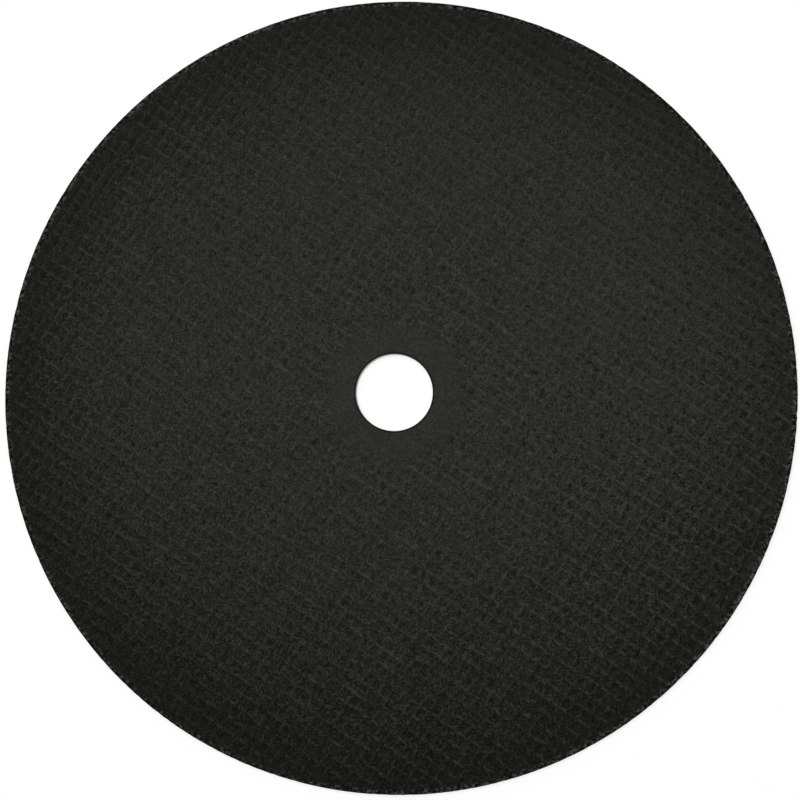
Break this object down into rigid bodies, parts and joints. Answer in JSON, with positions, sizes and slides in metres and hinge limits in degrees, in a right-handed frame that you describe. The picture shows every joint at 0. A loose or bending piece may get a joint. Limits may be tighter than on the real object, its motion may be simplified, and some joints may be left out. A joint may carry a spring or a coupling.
{
  "type": "cut-off wheel",
  "caption": "Flat round cut-off wheel of black resin-bonded abrasive, with a plain arbor bore and a woven glass mesh pressed into both faces, for cutting metal on a grinder or saw.",
  "frame": {"origin": "centre of the bore on the back face, on which the wheel lies", "axes": "+Z along the bore axis, out of the front face; +X and +Y across the face, with the weft yarns turned -33.5 degrees from +X"},
  "size_m": [0.23, 0.23, 0.003],
  "materials": {
    "bonded_abrasive": "matte"
  },
  "bodies": {
    "root": {"wheel": "bonded_abrasive"}
  },
  "joints": []
}
